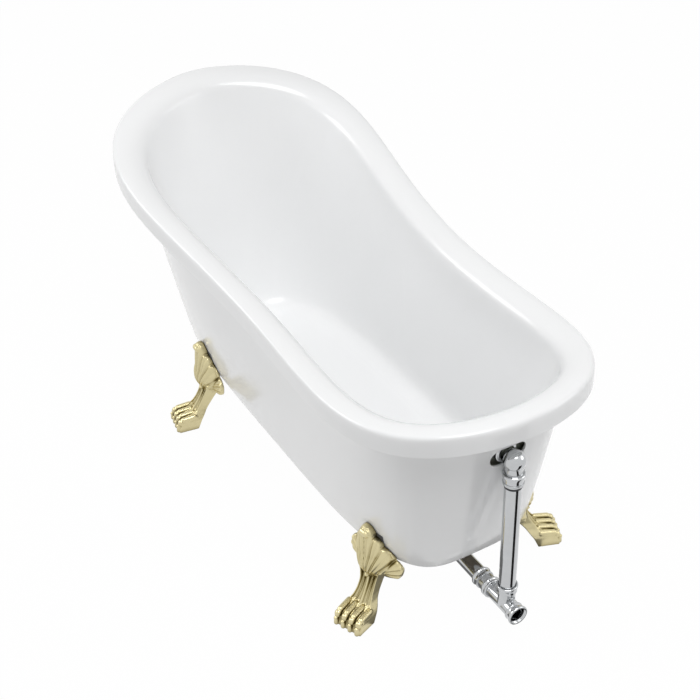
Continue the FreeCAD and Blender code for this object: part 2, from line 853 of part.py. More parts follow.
def make_drain_shoe():
    bend = place(drain_x, 0, pipe_height)
    rim_low = gasket_low - shoe_rim_thickness
    outside = fused([
        rod(shoe_rim_radius, raised(drain_point, rim_low), up, shoe_rim_thickness),
        rod(shoe_body_radius, bend, up, rim_low - pipe_height),
        Part.makeSphere(shoe_body_radius, bend),
        rod(fitting_radius, bend, ahead, shoe_outlet_length)])
    inside = [
        rod(drain_shank_radius + thread_gap, raised(drain_point, shank_low - thread_gap), up, gasket_low),
        rod(tee_bore_radius, bend, up, shank_low - pipe_height + overrun),
        Part.makeSphere(tee_bore_radius, bend),
        rod(tee_bore_radius, bend, ahead, shoe_outlet_length + overrun),
        rod(pipe_radius + socket_gap, place(shoe_end_x - tee_socket_depth, 0, pipe_height), ahead,
            tee_socket_depth + overrun)]
    for cutter in inside:
        outside = outside.cut(cutter)
    return outside


def slip_nut(end, axis, radius, thread_radius, bore, length, lip):
    """A nut that turns on a fitting's thread and holds a washer against the fitting's end."""
    start = end - axis * (length - lip - slip_washer_thickness)
    body = rounded_rod(radius, start, axis, length, nut_edge_radius)
    body = body.cut(rod(thread_radius + thread_gap, start - axis * overrun, axis, length - lip + overrun))
    return body.cut(rod(bore, start, axis, length + overrun))


def slip_washer(end, axis, thread_radius, bore):
    return pipe(thread_radius, bore, end, axis, slip_washer_thickness)


shoe_end = place(shoe_end_x, 0, pipe_height)
pipe_clear_radius = pipe_radius + socket_gap
coupling_start_x = tee_x - tee_inlet_length - coupling_length
coupling_start = place(coupling_start_x, 0, pipe_height)
tee_start = place(tee_x - tee_inlet_length, 0, pipe_height)
tee_end = place(tee_x + tee_outlet_length, 0, pipe_height)
branch_top = place(tee_x, 0, pipe_height + tee_branch_length)


def make_drain_pipe():
    start = place(shoe_end_x - tee_socket_depth + socket_gap, 0, pipe_height)
    end_x = tee_start.x - coupling_length / 3
    return pipe(pipe_radius, pipe_radius - pipe_wall, start, ahead, end_x - start.x)


def make_pipe_coupling():
    body = rod(fitting_radius, coupling_start, ahead, coupling_length)
    body = body.cut(rod(tee_bore_radius, coupling_start, ahead, coupling_length))
    return body.cut(rod(pipe_clear_radius, coupling_start, ahead, coupling_length * 2 / 3 + socket_gap))


def make_union_nut():
    start = tee_start - ahead * (union_nut_length / 2)
    body = rounded_rod(nut_radius, start, ahead, union_nut_length, nut_edge_radius)
    start -= ahead * overrun
    return body.cut(rod(fitting_radius + thread_gap, start, ahead, union_nut_length + 2 * overrun))


def make_waste_tee():
    run = tee_inlet_length + tee_outlet_length
    plug_start = place(tee_x, 0, pipe_height + tee_plug_rise)
    outside = fused([
        rod(tee_radius, tee_start, ahead, run),
        rod(fitting_radius, tee_start, ahead, tee_thread_length),
        rod(fitting_radius, tee_end - ahead * tee_thread_length, ahead, tee_thread_length),
        rod(tee_radius, place(tee_x, 0, pipe_height), up, tee_branch_length),
        rod(fitting_radius, branch_top - up * tee_thread_length, up, tee_thread_length),
        rod(tee_plug_radius, plug_start, ahead, tee_radius + tee_plug_length)])
    inside = [
        rod(tee_bore_radius, tee_start - ahead * overrun, ahead, run + 2 * overrun),
        rod(outlet_bore_radius, tee_end - ahead * tee_socket_depth, ahead, tee_socket_depth + overrun),
        rod(tee_bore_radius, place(tee_x, 0, pipe_height), up, tee_branch_length + overrun),
        rod(pipe_clear_radius, branch_top - up * tee_socket_depth / 2, up, tee_socket_depth)]
    for cutter in inside:
        outside = outside.cut(cutter)
    return outside


def make_overflow_tube():
    low = branch_top.z - tee_socket_depth / 2 + socket_gap
    high = overflow_height - overflow_socket_drop + overflow_tube_overlap
    return pipe(pipe_radius, pipe_radius - pipe_wall, place(tee_x, 0, low), up, high - low)


elbow_bend = place(tee_x, 0, overflow_height)
socket_end = place(tee_x, 0, overflow_height - overflow_socket_drop)


def make_overflow_elbow():
    flange_start = place(overflow_flange_x, 0, overflow_height)
    reach = tee_x - overflow_flange_x
    outside = fused([
        rod(overflow_flange_radius, flange_start, ahead, overflow_flange_thickness),
        rod(overflow_neck_radius, flange_start, ahead, reach),
        Part.makeSphere(overflow_ball_radius, elbow_bend),
        rod(overflow_socket_radius, socket_end, up, overflow_socket_drop)])
    inside = [
        rod(overflow_bore_radius, flange_start - ahead * overrun, ahead, reach + overrun),
        Part.makeSphere(overflow_bore_radius, elbow_bend),
        rod(overflow_bore_radius, socket_end - up * overrun, up, overflow_socket_drop + overrun),
        rod(pipe_clear_radius, socket_end - up * overrun, up, overflow_tube_overlap + overrun + socket_gap)]
    hole_length = overflow_flange_thickness + 2 * overrun
    for start in overflow_screw_places(overflow_flange_x - overrun):
        inside.append(rod(overflow_screw_radius + thread_gap, start, ahead, hole_length))
    for cutter in inside:
        outside = outside.cut(cutter)
    return outside


def make_upper_slip_nut():
    lip_low = socket_end - up * slip_nut_lip
    outline = [
        (pipe_clear_radius + nut_edge_radius, 0),
        (nut_radius + thread_gap, 0),
        (nut_radius + thread_gap, nut_edge_radius),
        (overflow_socket_radius + nut_edge_radius, slip_nut_lip * 2),
        (overflow_socket_radius + thread_gap, slip_nut_lip * 2),
        (overflow_socket_radius + thread_gap, slip_nut_lip),
        (pipe_clear_radius + nut_edge_radius, slip_nut_lip)]
    return turned(outline, lip_low, up)


def make_upper_slip_washer():
    """A long rubber sleeve that shows below the nut as a dark band."""
    low = place(tee_x, 0, overflow_height - overflow_washer_drop)
    height = overflow_washer_drop - overflow_socket_drop
    return pipe(pipe_clear_radius + nut_edge_radius - thread_gap, pipe_clear_radius, low, up, height)


def basin_near_overflow(distance):
    """What lies behind the basin's foot wall, round the overflow, with the wall moved outward."""
    rows = offset_rows(basin_rows()[:len(wall_height_shares) + 4], distance)[2:]
    columns = [[row[index] for row in rows] for index in range(-end_patch_reach, end_patch_reach + 1)]
    spline = Part.BSplineSurface()
    u_steps = len(columns) - 3
    v_steps = len(rows) - 3
    spline.buildFromPolesMultsKnots(
        columns, [4] + [1] * (u_steps - 1) + [4], [4] + [1] * (v_steps - 1) + [4],
        list(range(u_steps + 1)), list(range(v_steps + 1)), False, False, 3, 3)
    return spline.toShape().extrude(ahead * -half_length)


def make_overflow_gasket():
    start = place(overflow_x - overrun, 0, overflow_height)
    body = rod(overflow_flange_radius, start, ahead, overflow_flange_x - start.x)
    return body.cut(basin_near_overflow(basin_wall)).cut(overflow_cutter(start.x - overrun))


def make_overflow_faceplate():
    """A shallow dish whose skirt meets the end wall of the basin, with a slot below for the water."""
    start = place(overflow_x - faceplate_depth, 0, overflow_height)
    length = faceplate_depth * 2
    disc = rounded_rod(faceplate_radius, start, ahead, length, nut_edge_radius)
    disc = disc.cut(rod(faceplate_radius - faceplate_wall, start + ahead * faceplate_wall, ahead, length))
    for point in overflow_screw_places(start.x):
        post = rod(overflow_screw_head_radius, point, ahead, length)
        disc = disc.fuse(post).cut(rod(overflow_screw_radius + thread_gap, point - ahead * overrun, ahead,
                                       length + 2 * overrun))
    slot = Part.makeBox(length, faceplate_slot_width, faceplate_radius,
                        place(start.x + faceplate_wall * 2, -faceplate_slot_width / 2,
                              overflow_height - faceplate_radius * 1.5))
    return disc.cut(slot).common(basin_near_overflow(-faceplate_gap))


def make_overflow_screws():
    screws = []
    head_x = overflow_x - faceplate_depth - overflow_screw_head_height
    for point in overflow_screw_places(head_x):
        head = rounded_rod(overflow_screw_head_radius, point, ahead, overflow_screw_head_height,
                           overflow_screw_head_height / 3)
        end = overflow_flange_x + overflow_flange_thickness
        screws.append(head.fuse(rod(overflow_screw_radius, point, ahead, end - head_x)))
    return Part.makeCompound(screws)


def make_stopper_post():
    return rod(post_radius, raised(drain_point, spider_low), up, cap_low - post_gap - spider_low)


def make_stopper_stem():
    low = spider_low + spider_thickness + sleeve_gap
    return pipe(sleeve_radius, post_radius + slide_gap, raised(drain_point, low), up, cap_low - low)


def make_stopper_cap():
    return turned([
        (0, cap_low), (cap_radius, cap_low), (cap_radius, cap_low + cap_edge_thickness),
        (cap_radius * 2 / 3, cap_low + (cap_thickness + cap_edge_thickness) / 2),
        (cap_radius / 3, cap_low + cap_thickness), (0, cap_low + cap_thickness)], drain_point, up)


def make_stopper_seal():
    top_radius = drain_seat_radius - seat_gap * 2
    low = cap_low - stopper_seal_thickness
    return turned([
        (sleeve_radius, low), (top_radius - stopper_seal_thickness * seat_taper, low),
        (top_radius, cap_low), (sleeve_radius, cap_low)], drain_point, up)


def make_outlet_nut():
    return slip_nut(tee_end, ahead, outlet_nut_radius, fitting_radius, outlet_bore_radius,
                    slip_nut_length, outlet_lip)


os.makedirs("parts", exist_ok=True)

front_foot = make_foot(front_foot_x)
rear_foot = make_foot(rear_foot_x)
pads = [make_pad(x) for x in (front_foot_x, rear_foot_x)]

nodes = {
    "inner_shell": make_inner_shell(),
    "glass_fibre_backing": make_glass_fibre_backing(),
    "outer_skirt": make_outer_skirt(),
    "base_board": make_base_board(),
    "front_foot_rail": make_rail(front_foot_x),
    "rear_foot_rail": make_rail(rear_foot_x),
    "rail_screws": make_rail_screws(),
    "front_right_foot": front_foot,
    "front_left_foot": mirrored(front_foot),
    "rear_right_foot": rear_foot,
    "rear_left_foot": mirrored(rear_foot),
    "foot_pads": Part.makeCompound(pads + [mirrored(pad) for pad in pads]),
    "foot_bolts": make_foot_bolts(),
    "foot_washers": make_foot_washers(),
    "foot_nuts": make_foot_nuts(),
    "drain_flange": make_drain_flange(),
    "flange_seal": make_flange_seal(),
    "drain_gasket": make_drain_gasket(),
    "drain_shoe": make_drain_shoe(),
    "shoe_slip_nut": slip_nut(shoe_end, ahead, nut_radius, fitting_radius, pipe_clear_radius,
                              slip_nut_length, slip_nut_lip),
    "shoe_slip_washer": slip_washer(shoe_end, ahead, fitting_radius, pipe_clear_radius),
    "drain_pipe": make_drain_pipe(),
    "coupling_nut": slip_nut(coupling_start, -ahead, nut_radius, fitting_radius, pipe_clear_radius,
                             slip_nut_length, slip_nut_lip),
    "coupling_washer": slip_washer(coupling_start, -ahead, fitting_radius, pipe_clear_radius),
    "pipe_coupling": make_pipe_coupling(),
    "union_nut": make_union_nut(),
    "waste_tee": make_waste_tee(),
    "outlet_nut": make_outlet_nut(),
    "outlet_washer": slip_washer(tee_end, ahead, fitting_radius, outlet_bore_radius),
    "overflow_tube": make_overflow_tube(),
    "lower_slip_nut": slip_nut(branch_top, up, nut_radius, fitting_radius, pipe_clear_radius,
                               slip_nut_length, slip_nut_lip),
    "lower_slip_washer": slip_washer(branch_top, up, fitting_radius, pipe_clear_radius),
    "upper_slip_nut": make_upper_slip_nut(),
    "upper_slip_washer": make_upper_slip_washer(),
    "overflow_elbow": make_overflow_elbow(),
    "overflow_gasket": make_overflow_gasket(),
    "overflow_faceplate": make_overflow_faceplate(),
    "overflow_screws": make_overflow_screws(),
    "stopper_post": make_stopper_post(),
    "stopper_stem": make_stopper_stem(),
    "stopper_cap": make_stopper_cap(),
    "stopper_seal": make_stopper_seal(),
}

for name, shape in nodes.items():
    shape.exportStep(os.path.join("parts", name + ".step"))
    print(name, len(shape.Solids), shape.isValid(), round(shape.Volume))
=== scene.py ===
"""The looks of a freestanding slipper bath on claw feet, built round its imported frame."""
import json
import math

import bmesh
import bpy
import numpy as np
import openvdb
from mathutils import Matrix, Vector
from mathutils.bvhtree import BVHTree


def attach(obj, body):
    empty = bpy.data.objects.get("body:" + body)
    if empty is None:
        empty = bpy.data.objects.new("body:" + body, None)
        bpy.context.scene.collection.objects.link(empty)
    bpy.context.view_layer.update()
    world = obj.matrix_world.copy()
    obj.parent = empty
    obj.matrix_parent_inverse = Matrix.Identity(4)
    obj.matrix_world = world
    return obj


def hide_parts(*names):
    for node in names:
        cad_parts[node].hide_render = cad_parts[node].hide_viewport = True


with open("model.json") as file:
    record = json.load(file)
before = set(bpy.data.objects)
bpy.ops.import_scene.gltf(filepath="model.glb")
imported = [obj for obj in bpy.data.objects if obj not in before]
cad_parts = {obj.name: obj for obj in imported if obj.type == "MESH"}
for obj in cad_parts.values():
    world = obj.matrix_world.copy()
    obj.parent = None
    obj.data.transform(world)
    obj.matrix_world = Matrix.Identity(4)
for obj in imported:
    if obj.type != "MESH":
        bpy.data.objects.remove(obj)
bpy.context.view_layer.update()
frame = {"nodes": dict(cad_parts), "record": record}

# Camera, in metres and radians, at the photograph's place
CAMERA_PLACE = (2.3967, -1.3169, 2.3581)
CAMERA_YAW = 1.0598
CAMERA_PITCH = 0.6327
CAMERA_ROLL = -0.0314
CAMERA_LENS = 69.73
SENSOR_WIDTH = 36.0


def make_camera():
    data = bpy.data.cameras.new("camera")
    data.lens = CAMERA_LENS
    data.sensor_width = SENSOR_WIDTH
    data.clip_start, data.clip_end = 0.05, 60
    camera = bpy.data.objects.new("camera", data)
    forward = Vector((-math.sin(CAMERA_YAW) * math.cos(CAMERA_PITCH),
                      math.cos(CAMERA_YAW) * math.cos(CAMERA_PITCH), -math.sin(CAMERA_PITCH)))
    level = Vector((math.cos(CAMERA_YAW), math.sin(CAMERA_YAW), 0))
    upright = level.cross(forward)
    right = level * math.cos(CAMERA_ROLL) + upright * math.sin(CAMERA_ROLL)
    up = right.cross(forward)
    turn = Matrix((right, up, -forward)).transposed()
    camera.matrix_world = Matrix.Translation(CAMERA_PLACE) @ turn.to_4x4()
    bpy.context.scene.collection.objects.link(camera)
    bpy.context.scene.camera = camera


# Small helpers for node materials

class Build:
    """A material and its node tree, with short calls for nodes and links."""

    def __init__(self, name):
        self.material = bpy.data.materials.new(name)
        self.material.use_nodes = True
        self.tree = self.material.node_tree
        self.shader = self.tree.nodes["Principled BSDF"]

    def node(self, kind, settings=None, **inputs):
        made = self.tree.nodes.new(kind)
        for key, value in (settings or {}).items():
            setattr(made, key, value)
        for key, value in inputs.items():
            self.put(made.inputs[key.replace("_", " ")], value)
        return made

    def put(self, socket, value):
        if isinstance(value, bpy.types.NodeSocket):
            self.tree.links.new(value, socket)
        else:
            socket.default_value = value

    def set(self, **inputs):
        for key, value in inputs.items():
            self.put(self.shader.inputs[key.replace("_", " ")], value)

    def noise(self, scale, detail=4.0, rough=0.5, stretch=(1, 1, 1)):
        place = self.node("ShaderNodeTexCoord")
        mapping = self.node("ShaderNodeMapping")
        self.tree.links.new(place.outputs["Object"], mapping.inputs["Vector"])
        mapping.inputs["Scale"].default_value = stretch
        made = self.node("ShaderNodeTexNoise", Scale=scale, Detail=detail, Roughness=rough)
        self.tree.links.new(mapping.outputs["Vector"], made.inputs["Vector"])
        return made.outputs["Fac"]

    def span(self, fac, low, high, start=0.0, end=1.0):
        made = self.node("ShaderNodeMapRange")
        self.put(made.inputs["Value"], fac)
        for key, value in (("From Min", start), ("From Max", end), ("To Min", low), ("To Max", high)):
            made.inputs[key].default_value = value
        return made.outputs["Result"]

    def blend(self, fac, first, second):
        made = self.node("ShaderNodeMix", {"data_type": "RGBA"})
        self.put(made.inputs["Factor"], fac)
        self.put(made.inputs[6], first)
        self.put(made.inputs[7], second)
        return made.outputs[2]

    def bump(self, height, strength, distance, under=None):
        made = self.node("ShaderNodeBump", Strength=strength, Distance=distance)
        self.put(made.inputs["Height"], height)
        if under is not None:
            self.put(made.inputs["Normal"], under)
        return made.outputs["Normal"]


def acrylic():
    m = Build("acrylic_white_gloss")
    cloud = m.noise(3.0, 2.0)
    m.set(Base_Color=m.blend(cloud, (0.915, 0.92, 0.925, 1), (0.935, 0.94, 0.943, 1)))
    m.set(Roughness=m.span(m.noise(14.0, 3.0), 0.15, 0.21))
    m.set(Coat_Weight=0.12, Coat_Roughness=0.06, IOR=1.49)
    m.set(Normal=m.bump(m.noise(26.0, 2.0), 0.08, 0.0006))
    return m.material


def glass_fibre():
    m = Build("glass_fibre_resin")
    strands = m.noise(90.0, 6.0, 0.7, (1, 0.25, 1))
    m.set(Base_Color=m.blend(strands, (0.50, 0.53, 0.45, 1), (0.74, 0.75, 0.66, 1)))
    m.set(Roughness=m.span(m.noise(40.0), 0.45, 0.7))
    m.set(Normal=m.bump(strands, 0.6, 0.002))
    return m.material


def plywood():
    m = Build("plywood_sealed")
    grain = m.noise(9.0, 6.0, 0.6, (0.6, 14, 3))
    knots = m.noise(3.0, 3.0, 0.5, (0.4, 3, 1))
    base = m.blend(grain, (0.20, 0.165, 0.125, 1), (0.36, 0.31, 0.25, 1))
    m.set(Base_Color=m.blend(m.span(knots, 0, 0.5, 0.45, 0.7), base, (0.15, 0.12, 0.09, 1)))
    m.set(Roughness=m.span(grain, 0.45, 0.65))
    m.set(Normal=m.bump(grain, 0.25, 0.0008))
    return m.material


def zinc_steel():
    m = Build("zinc_plated_steel")
    spangle = m.noise(120.0, 3.0)
    m.set(Base_Color=m.blend(spangle, (0.46, 0.47, 0.49, 1), (0.64, 0.65, 0.66, 1)))
    m.set(Metallic=1.0, Roughness=m.span(m.noise(30.0), 0.28, 0.45))
    m.set(Normal=m.bump(m.noise(300.0, 2.0), 0.15, 0.0003))
    return m.material


def gold():
    m = Build("champagne_gold_casting")
    # Painted shade: ambient occlusion darkens the base colour towards a dark olive-brown in the foot's
    # creases, channels and hollows.
    hollow = m.node("ShaderNodeAmbientOcclusion", {"samples": 8}, Distance=0.016)
    shade = m.span(hollow.outputs["AO"], 0.0, 1.0, 0.35, 0.97)
    cloud = m.noise(34.0, 4.0)
    unshaded_tone = m.blend(cloud, (0.60, 0.53, 0.30, 1), (0.70, 0.625, 0.385, 1))
    m.set(Base_Color=m.blend(shade, (0.20, 0.16, 0.06, 1), unshaded_tone))
    m.set(Metallic=1.0, Roughness=m.span(m.noise(60.0, 4.0), 0.26, 0.40))
    grain = m.bump(m.noise(900.0, 2.0), 0.12, 0.0002)
    m.set(Normal=m.bump(m.noise(70.0, 3.0), 0.2, 0.0012, grain))
    return m.material


def chrome():
    m = Build("polished_chrome")
    smudge = m.noise(26.0, 5.0, 0.6)
    m.set(Base_Color=m.blend(smudge, (0.47, 0.48, 0.49, 1), (0.56, 0.57, 0.58, 1)))
    m.set(Metallic=1.0, Roughness=m.span(smudge, 0.07, 0.16))
    m.set(Normal=m.bump(m.noise(40.0, 2.0), 0.05, 0.0004))
    return m.material


def rubber():
    m = Build("black_rubber")
    grain = m.noise(500.0, 3.0)
    m.set(Base_Color=m.blend(grain, (0.018, 0.018, 0.02, 1), (0.045, 0.045, 0.05, 1)))
    m.set(Roughness=m.span(m.noise(60.0), 0.5, 0.75))
    m.set(Normal=m.bump(grain, 0.3, 0.0003))
    return m.material


def foam():
    m = Build("dark_foam")
    cells = m.noise(700.0, 4.0)
    m.set(Base_Color=m.blend(cells, (0.05, 0.05, 0.05, 1), (0.13, 0.13, 0.13, 1)))
    m.set(Roughness=m.span(cells, 0.8, 0.95))
    m.set(Normal=m.bump(cells, 0.5, 0.0005))
    return m.material


FINISHES = {"acrylic": acrylic(), "glass_fibre": glass_fibre(), "plywood": plywood(),
            "steel": zinc_steel(), "foot_gold": gold(), "chrome": chrome(), "rubber": rubber(),
            "foam": foam()}


def dress_nodes():
    for subpart in frame["record"]["subparts"]:
        obj = frame["nodes"][subpart["node"]]
        for index in range(len(obj.material_slots)):
            obj.material_slots[index].material = FINISHES[subpart["material_slot"]]


# Claw feet: each is carved as a field of distances on a grid, in millimetres. Its three directions are
# out from the base point, sideways along the skirt, and up.

MM = 0.001
BASE_CENTRE_X = -5.0
BASE_HALF_LENGTH = 615.0
BASE_HALF_WIDTH = 211.0
BASE_FULLNESS = 4.0
FOOT_TURN_SHARE = 1.3
SKIRT_FLAT_FROM = 175.0
SKIRT_GAP = 1.6
FOOT_STATIONS = {"front": 481.0, "rear": -343.0}
FOOT_VOXEL = 1.15
FOOT_OUT = (-8.0, 134.0)
FOOT_SIDE = 90.0
FOOT_UP = (-4.0, 260.0)
RAY_START = 300
FIELD_LIMIT = 5
SOLE_EDGE = 0.6

# Leaf: half its outline from the tip down, and the height of its belly above the skirt at each level
LEAF_OUTLINE = [(0, 251), (8, 250), (14, 245), (18, 237), (20, 229), (19, 223), (27, 220), (34, 213),
                (37, 205), (36, 199), (45, 195), (54, 187), (59, 179), (62, 171), (69, 167), (76, 160),
                (80, 151), (79, 141), (76, 129), (71, 121), (60, 115), (48, 109), (36, 104), (24, 101),
                (10, 98), (0, 97)]
LEAF_EDGE = 4.0
FACE_SCALE = 0.8
BACK_EDGE = 0.8
BELLY_LEVELS = [96, 105, 118, 131, 145, 158, 170, 193, 208, 225, 236, 250]
BELLY_HEIGHTS = [21, 31, 40, 48, 51, 51, 47, 38, 33, 28, 25, 19]
BELLY_WIDTH_LEVELS = [96, 118, 140, 170, 200, 220, 236, 250]
BELLY_WIDTHS = [26, 34, 44, 54, 44, 32, 26, 18]
BELLY_POWER = 0.8
LEAF_ROOT = 96.0

# Wings: their height over the skirt, where they swell, and how far
WING_BASE = 8
WING_SWELL = 10
WING_LEVEL = 136
WING_SPREAD = 24
WING_REACH = 105

# Folds and crests run out from the leaf's root: angle in degrees, depth or rise, and spread
FOLDS = [(3.2, 1.3, 1.5), (9.2, 3.4, 2.2), (14.0, 1.4, 1.5), (19.8, 3.6, 2.3), (29.0, 1.8, 1.8),
         (39.5, 5.0, 2.8)]
CRESTS = [(6.2, 1.8, 2.4), (16.8, 1.6, 2.6), (24.5, 1.8, 3.2), (34.5, 1.8, 3.6), (44.0, 1.6, 3.4)]
FOLDS_START = 12.0
FOLDS_GROW = 34
WING_RIDGES = [([(36, 130), (56, 145), (78, 157)], 3.2, 4.0),
               ([(36, 125), (58, 133), (80, 142)], 3.4, 3.6),
               ([(34, 119), (56, 121), (76, 127)], 3.0, 3.6)]
SCROLL = ((31, 124), 7.0, 3.0, 2.4)
BUD = ((39, 0, 112), 6.0)
BUD_SEAM = 1.5

# Tip: a rounded roll across it, and how far it leans sideways from a level upward
TIP_ROLL = (21.0, 236.0, 5.0, 10.0)
ROLL_SEAM = 2.5
TIP_LEAN = 8.0
LEAN_FROM = 150.0

# Leg and paw: the side view, and the half width at each level
LEG_OUTLINE = [(-2, 150), (-2, 99), (9, 85), (21, 69), (33, 55), (45, 39), (54, 27), (61, 11), (66, 0),
               (119, 0), (119, 9), (114, 21), (104, 32), (91, 37), (79, 39), (72, 43), (63, 54),
               (54, 68), (46, 83), (40, 97), (36, 112), (34, 130), (34, 150)]
LEG_LEVELS = [0, 28, 40, 52, 68, 90, 108, 128, 150]
LEG_WIDTHS = [39, 39, 34, 27, 23, 22, 25, 31, 33]
LEG_EDGE = 3.0
LEG_SEAM = 3.0

# Channels and ridges down the leg's front: how far ahead and how high they begin
LEG_BACK = ([0, 28, 45, 100, 150], [100, 88, 58, 20, 16])
CHANNEL_DEPTH = 11.0
CHANNEL_SHARE = 0.34
RIDGE_RISE = 9.0
RIDGE_WIDTH = 1.9
CHANNEL_SHARPNESS = 40
CHANNEL_BOTTOM = 34
CHANNEL_FADE = 12
BACK_FADE = 10

# Toes, and the turn of leg and paw about the station's upright, which fades out behind the leaf
TOE_COUNT = 4
TOE_PITCH = 20.0
TOE_SEAM = 1.6
BALL_SEAM = 0.8
TOE_BARS = [((72, 38), (104, 35), 7.6), ((112, 30), (113, 28), 8.4), ((119, 18), (120, 5.5), 6.2)]
TOE_BALL = ((121, 20), 5.4)
LEG_TWIST = {"front": 3.0, "rear": -4.5}
TWIST_MIDDLE = 110.0
TWIST_FADE = 20
LEAF_ONLY_RISE = 40


def join(a, b, soft):
    """Union of two fields, with a soft seam."""
    share = np.clip(0.5 + 0.5 * (b - a) / soft, 0, 1)
    return b * (1 - share) + a * share - soft * share * (1 - share)


def overlap(a, b, soft):
    """What two fields have in common, with a soft edge."""
    return -join(-a, -b, soft)


def eased(x, levels, values, reach=7):
    """Values between levels, with the corners rounded off."""
    fine = np.linspace(levels[0], levels[-1], 240)
    row = np.interp(fine, levels, values)
    for _ in range(2):
        padded = np.concatenate([np.full(reach, row[0]), row, np.full(reach, row[-1])])
        row = np.convolve(padded, np.ones(2 * reach + 1) / (2 * reach + 1), "valid")
    return np.interp(x, fine, row)


def segment_square(x, y, start, end):
    """Squared distance in a plane to a straight segment."""
    (ax, ay), (bx, by) = start, end
    dx, dy = bx - ax, by - ay
    share = np.clip(((x - ax) * dx + (y - ay) * dy) / (dx * dx + dy * dy), 0, 1)
    return (x - ax - share * dx) ** 2 + (y - ay - share * dy) ** 2


def path_distance(x, y, points):
    return np.sqrt(np.minimum.reduce([segment_square(x, y, a, b) for a, b in zip(points, points[1:])]))


def outline_distance(x, y, points):
    """Signed distance to a closed outline in a plane, negative inside."""
    inside = np.zeros(x.shape, bool)
    for (ax, ay), (bx, by) in zip(points, points[1:] + points[:1]):
        if ay != by:
            inside ^= ((ay > y) != (by > y)) & (x < (bx - ax) * (y - ay) / (by - ay) + ax)
    return np.where(inside, -1, 1) * path_distance(x, y, points + points[:1])


def bar(o, s, z, start, end, radius):
    """A round bar with ball ends."""
    span = [b - a for a, b in zip(start, end)]
    away = (o - start[0], s - start[1], z - start[2])
    share = np.clip(sum(a * d for a, d in zip(away, span)) / sum(d * d for d in span), 0, 1)
    return np.sqrt(sum((a - share * d) ** 2 for a, d in zip(away, span))) - radius


def leaf_height(aside, level):
    """How far the leaf's face stands off the skirt, over the plane of its outline."""
    width = eased(level, BELLY_WIDTH_LEVELS, BELLY_WIDTHS)
    belly = eased(level, BELLY_LEVELS, BELLY_HEIGHTS)
    bell = np.clip(1 - (aside / width) ** 2, 0, 1) ** BELLY_POWER
    swell = WING_SWELL * np.exp(-((level - WING_LEVEL) / WING_SPREAD) ** 2)
    wing = WING_BASE + swell * np.clip(1 - (aside / WING_REACH) ** 2, 0, 1)
    height = wing + np.clip(belly - wing, 0, None) * bell
    reach = np.hypot(aside, level - LEAF_ROOT)
    angle = np.degrees(np.arctan2(aside, level - LEAF_ROOT))
    grown = np.clip((reach - FOLDS_START) / FOLDS_GROW, 0, 1)
    for edge, depth, spread in FOLDS:
        across = reach * np.radians(np.abs(angle - edge))
        height = height - depth * grown * np.exp(-(across / spread) ** 2)
    for middle, rise, spread in CRESTS:
        across = reach * np.radians(np.abs(angle - middle))
        height = height + rise * grown * np.exp(-(across / spread) ** 2)
    (middle, low), size, rise, spread = SCROLL
    ring = np.abs(np.hypot(aside - middle, level - low) - size)
    height = height + rise * np.exp(-(ring / spread) ** 2)
    for points, rise, spread in WING_RIDGES:
        height = height + rise * np.exp(-(path_distance(aside, level, points) / spread) ** 2)
    return height


def leaf_field(s, z, front):
    s = s + TIP_LEAN * np.clip((z - LEAN_FROM) / (LEAF_OUTLINE[0][1] - LEAN_FROM), 0, 1)
    aside, level = np.abs(s[0]), z[0]
    outline = outline_distance(aside, level, LEAF_OUTLINE)[None]
    face = (front - leaf_height(aside, level)[None]) * FACE_SCALE
    roll_out, roll_up, roll_half, roll_radius = TIP_ROLL
    roll = bar(front, s, z, (roll_out, -roll_half, roll_up), (roll_out, roll_half, roll_up), roll_radius)
    leaf = join(overlap(outline, face, LEAF_EDGE), roll, ROLL_SEAM)
    return overlap(leaf, SKIRT_GAP - front, BACK_EDGE)


def leg_field(o, s, z):
    width = eased(z, LEG_LEVELS, LEG_WIDTHS, 5)
    ahead = np.clip((o - np.interp(z, *LEG_BACK)) / BACK_FADE, 0, 1)
    away = np.abs(np.abs(s / width) - 0.5)
    channel = 1 / (1 + np.exp((away - CHANNEL_SHARE) * CHANNEL_SHARPNESS))
    ridge = np.exp(-(away * width / RIDGE_WIDTH) ** 2)
    above = np.clip((z - CHANNEL_BOTTOM) / CHANNEL_FADE, 0, 1)
    dip = (CHANNEL_DEPTH * channel - RIDGE_RISE * ridge) * ahead * above
    leg = overlap(outline_distance(o, z, LEG_OUTLINE) + dip, np.abs(s) - width, LEG_EDGE)
    for index in range(TOE_COUNT):
        aside = (index - (TOE_COUNT - 1) / 2) * TOE_PITCH
        for (out, level), (end_out, end_level), radius in TOE_BARS:
            toe = bar(o, s, z, (out, aside, level), (end_out, aside, end_level), radius)
            leg = join(leg, toe, TOE_SEAM)
        (out, level), radius = TOE_BALL
        ball = np.sqrt((o - out) ** 2 + (s - aside) ** 2 + (z - level) ** 2) - radius
        leg = join(leg, ball, BALL_SEAM)
    return leg


def twisted(o, s, z, degrees):
    """The leg turned about the station's upright: fully at the paw, fading out behind the leaf."""
    share = np.clip((TWIST_MIDDLE + TWIST_FADE - z) / (2 * TWIST_FADE), 0, 1)
    turn = np.radians(degrees) * share
    return o * np.cos(turn) + s * np.sin(turn), s * np.cos(turn) - o * np.sin(turn)


def foot_field(o, s, z, skirt, degrees):
    front = o - skirt[None]
    leg_o, leg_s = twisted(o, s, z, degrees)
    (out, aside, level), radius = BUD
    bud = np.sqrt((o - out) ** 2 + (s - aside) ** 2 + (z - level) ** 2) - radius
    leg = leg_field(leg_o, leg_s, z)
    whole = join(join(leaf_field(s, z, front), leg, LEG_SEAM), bud, BUD_SEAM)
    clear = overlap(whole, SKIRT_GAP - front, BACK_EDGE)
    whole = np.where(z > LEAF_ROOT + LEAF_ONLY_RISE, clear, whole)
    return overlap(whole, -z, SOLE_EDGE)


